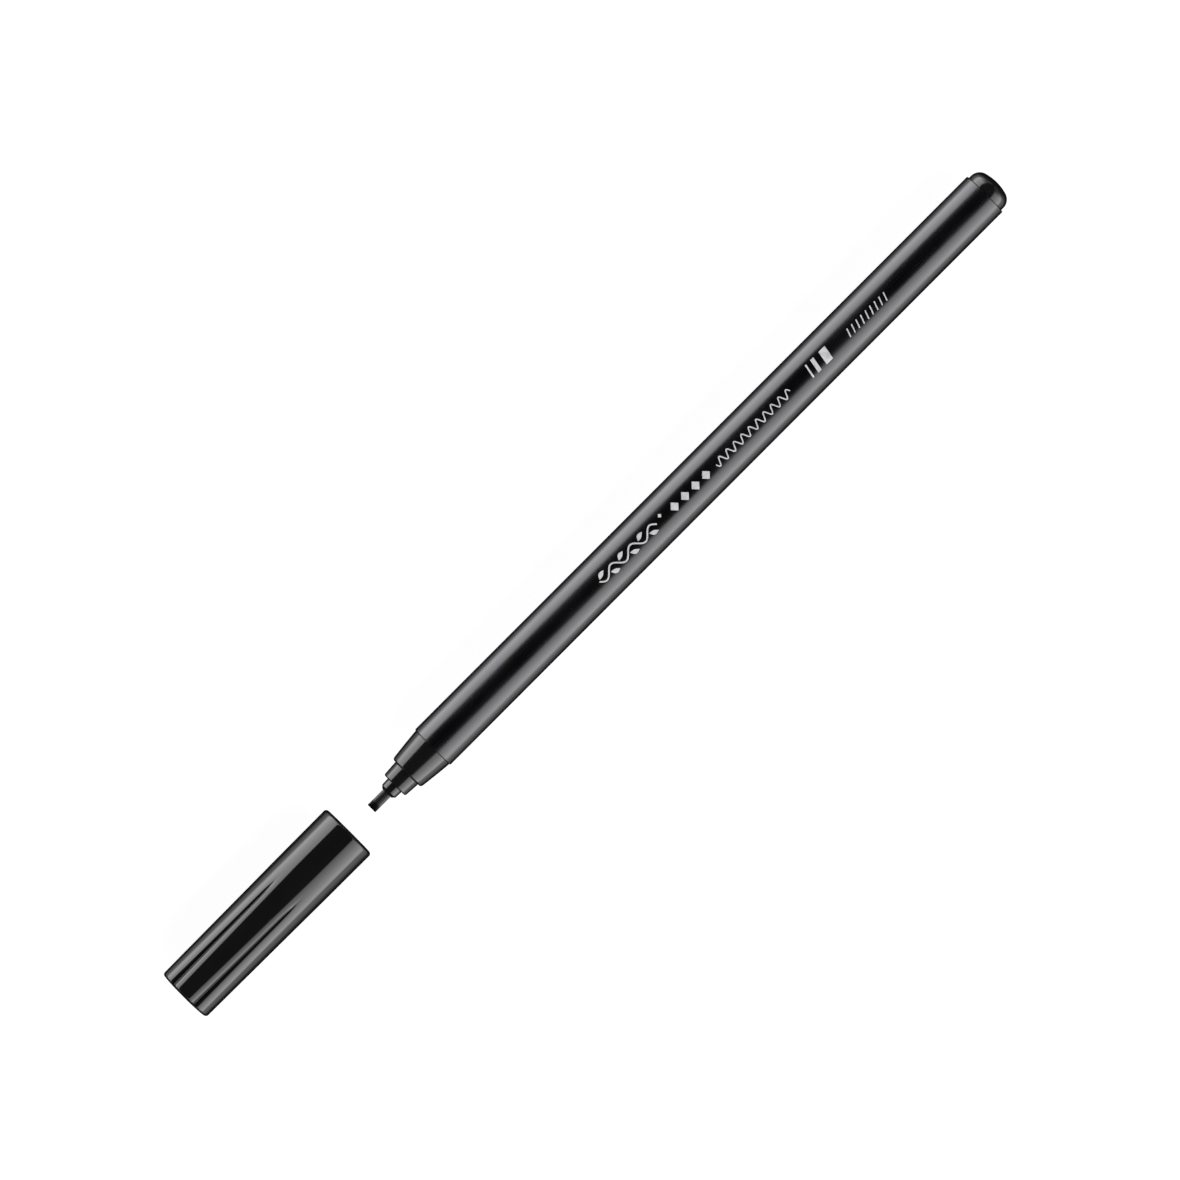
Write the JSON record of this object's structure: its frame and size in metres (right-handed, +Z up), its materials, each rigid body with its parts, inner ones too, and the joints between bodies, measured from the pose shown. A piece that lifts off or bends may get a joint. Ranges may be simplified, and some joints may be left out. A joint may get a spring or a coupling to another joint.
{
  "type": "calligraphy marker",
  "caption": "Slim black calligraphy marker with a flat chisel nib held in stepped collars, a tapered front section, a domed end plug and a separate fluted push-on cap.",
  "frame": {"origin": "on the surface that the marker lies on, under the middle of the whole length laid out with the cap off", "axes": "+X along the pen's axis from the cap and nib towards the end plug, +Z up from the surface, +Y across"},
  "size_m": [0.208, 0.0116, 0.0116],
  "materials": {
    "barrel": "satin-gloss black polypropylene",
    "end_plug": "satin-gloss black moulding",
    "nose_cone": "satin-gloss black moulding",
    "nib_holder": "satin black moulding",
    "nib": "bonded fibre, wet with black ink",
    "ink_reservoir": "bonded fibre rod, soaked with ink",
    "reservoir_film": "clear wrapping film",
    "cap_shell": "high-gloss black moulding",
    "cap_inner_cup": "natural, milky soft plastic"
  },
  "bodies": {
    "pen": {"barrel": "barrel", "end_plug": "end_plug", "nose_cone": "nose_cone", "nib_holder": "nib_holder", "nib": "nib", "ink_reservoir": "ink_reservoir", "reservoir_film": "reservoir_film"},
    "cap": {"cap_shell": "cap_shell", "cap_inner_cup": "cap_inner_cup"}
  },
  "joints": [
    {"name": "cap_slide", "type": "slide", "parent": "pen", "child": "cap", "axis": [1, 0, 0], "range_m": [0, 0.045]}
  ]
}
